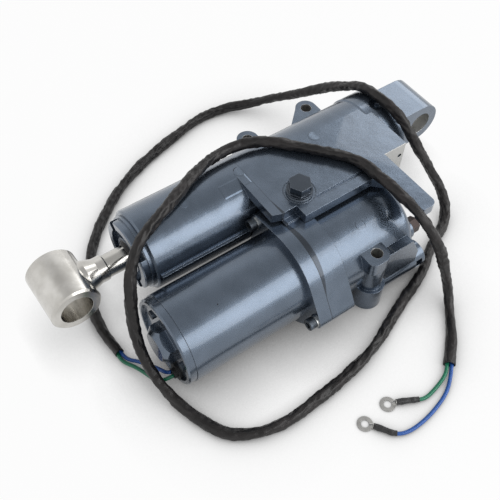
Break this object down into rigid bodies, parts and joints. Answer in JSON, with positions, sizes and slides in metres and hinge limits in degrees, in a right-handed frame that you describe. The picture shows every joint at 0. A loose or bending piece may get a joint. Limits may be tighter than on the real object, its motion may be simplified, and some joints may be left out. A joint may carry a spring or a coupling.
{
  "type": "power trim and tilt unit",
  "caption": "Electric-hydraulic tilt unit: ram and cylinder with two mounting eyes beside a motor, gear pump and reservoir, with bolt posts and a wire harness.",
  "frame": {"origin": "centre of the lower mounting eye", "axes": "+X along the ram towards the rod eye, +Y along the mounting eyes towards the motor, +Z out of the top plate"},
  "size_m": [0.397, 0.3804, 0.1025],
  "materials": {
    "marine_paint": "gloss blue-grey marine enamel over cast aluminium",
    "yoke_paint": "gloss blue-grey marine enamel over steel tube",
    "bright_steel": "bright ground and plated steel",
    "zinc_steel": "zinc plated steel",
    "dark_steel": "blackened steel",
    "raw_aluminium": "machined aluminium",
    "black_rubber": "black rubber",
    "seal_plastic": "filled sealing plastic",
    "ferrite": "dark sintered magnet",
    "core_steel": "stacked steel sheets",
    "copper": "copper",
    "brass": "brass and bronze",
    "phenolic": "brown moulded board",
    "carbon": "pressed carbon",
    "sleeve": "black wrinkled wire sleeve",
    "green_wire": "green insulation",
    "blue_wire": "blue insulation",
    "tinned": "tin plated"
  },
  "bodies": {
    "housing": {"cylinder_housing": "marine_paint", "gland_end_screw": "marine_paint", "dust_wiper": "black_rubber", "rod_seal": "seal_plastic", "gland_o_ring": "black_rubber", "end_port_plug": "dark_steel", "gallery_ball": "bright_steel", "filler_plug": "marine_paint", "filler_seal": "raw_aluminium", "tank_plug": "dark_steel", "release_valve_clip": "bright_steel", "motor_flange": "marine_paint", "flange_o_ring": "black_rubber", "flange_screws": "dark_steel", "flange_washers": "zinc_steel", "shaft_seal": "black_rubber", "motor_yoke": "yoke_paint", "magnets": "ferrite", "motor_end_cap": "marine_paint", "cap_screws": "dark_steel", "end_bush": "brass", "drive_end_bearing": "bright_steel", "brush_holder": "phenolic", "brushes": "carbon", "brush_springs": "bright_steel", "wire_grommet": "black_rubber", "pump_body": "raw_aluminium", "pump_cover": "raw_aluminium", "pump_screws": "dark_steel", "suction_strainer": "brass", "relief_adjuster": "zinc_steel", "relief_spring": "bright_steel", "check_seats": "brass", "shuttle_plugs": "zinc_steel", "harness_sleeve": "sleeve", "green_leads": "green_wire", "blue_leads": "blue_wire", "heat_shrinks": "black_rubber", "ring_terminals": "tinned"},
    "piston_seal": {"piston_ring": "seal_plastic"},
    "ram": {"ram_rod": "bright_steel", "rod_eye": "bright_steel", "piston": "raw_aluminium", "piston_nut": "zinc_steel", "shock_valve_plate": "zinc_steel", "shock_valve_balls": "bright_steel"},
    "free_piston": {"free_piston": "raw_aluminium", "free_piston_ring": "black_rubber"},
    "armature": {"armature_shaft": "bright_steel", "armature_core": "core_steel", "armature_windings": "copper", "commutator": "copper", "drive_coupling": "zinc_steel", "drive_gear": "bright_steel"},
    "driven_gear": {"driven_gear": "bright_steel"},
    "relief_poppet": {"relief_poppet": "bright_steel"},
    "shuttle": {"shuttle_spool": "bright_steel"},
    "up_check": {"up_check_ball": "bright_steel"},
    "down_check": {"down_check_ball": "bright_steel"},
    "release_screw": {"release_valve": "dark_steel"}
  },
  "joints": [
    {"name": "ram_slide", "type": "slide", "parent": "housing", "child": "piston_seal", "axis": [1, 0, 0], "range_m": [0, 0.16]},
    {"name": "ram_turn", "type": "hinge", "parent": "piston_seal", "child": "ram", "pos_m": [0.1, 0, 0], "axis": [1, 0, 0], "continuous": true},
    {"name": "free_piston_slide", "type": "slide", "parent": "housing", "child": "free_piston", "axis": [1, 0, 0], "range_m": [0, 0.16]},
    {"name": "motor_spin", "type": "hinge", "parent": "housing", "child": "armature", "pos_m": [0.2, 0.075, -0.019], "axis": [1, 0, 0], "continuous": true},
    {"name": "driven_gear_spin", "type": "hinge", "parent": "housing", "child": "driven_gear", "pos_m": [0.16, 0.075, -0.00525], "axis": [1, 0, 0], "continuous": true},
    {"name": "relief_lift", "type": "slide", "parent": "housing", "child": "relief_poppet", "axis": [0, 0, 1], "range_m": [0, 0.0015], "deforming": ["relief_spring"]},
    {"name": "shuttle_slide", "type": "slide", "parent": "housing", "child": "shuttle", "axis": [0, 1, 0], "range_m": [-0.001, 0.001]},
    {"name": "up_check_lift", "type": "slide", "parent": "housing", "child": "up_check", "axis": [0, 1, 0], "range_m": [0, 0.0012]},
    {"name": "down_check_lift", "type": "slide", "parent": "housing", "child": "down_check", "axis": [0, -1, 0], "range_m": [0, 0.0012]},
    {"name": "release_turn", "type": "hinge", "parent": "housing", "child": "release_screw", "pos_m": [0.084, 0.11, -0.042], "axis": [1, 0, 0], "range_deg": [0, 1080]}
  ],
  "couplings": [
    {"joint": "free_piston_slide", "follows": "ram_slide", "ratio": 1},
    {"joint": "driven_gear_spin", "follows": "motor_spin", "ratio": -1}
  ]
}
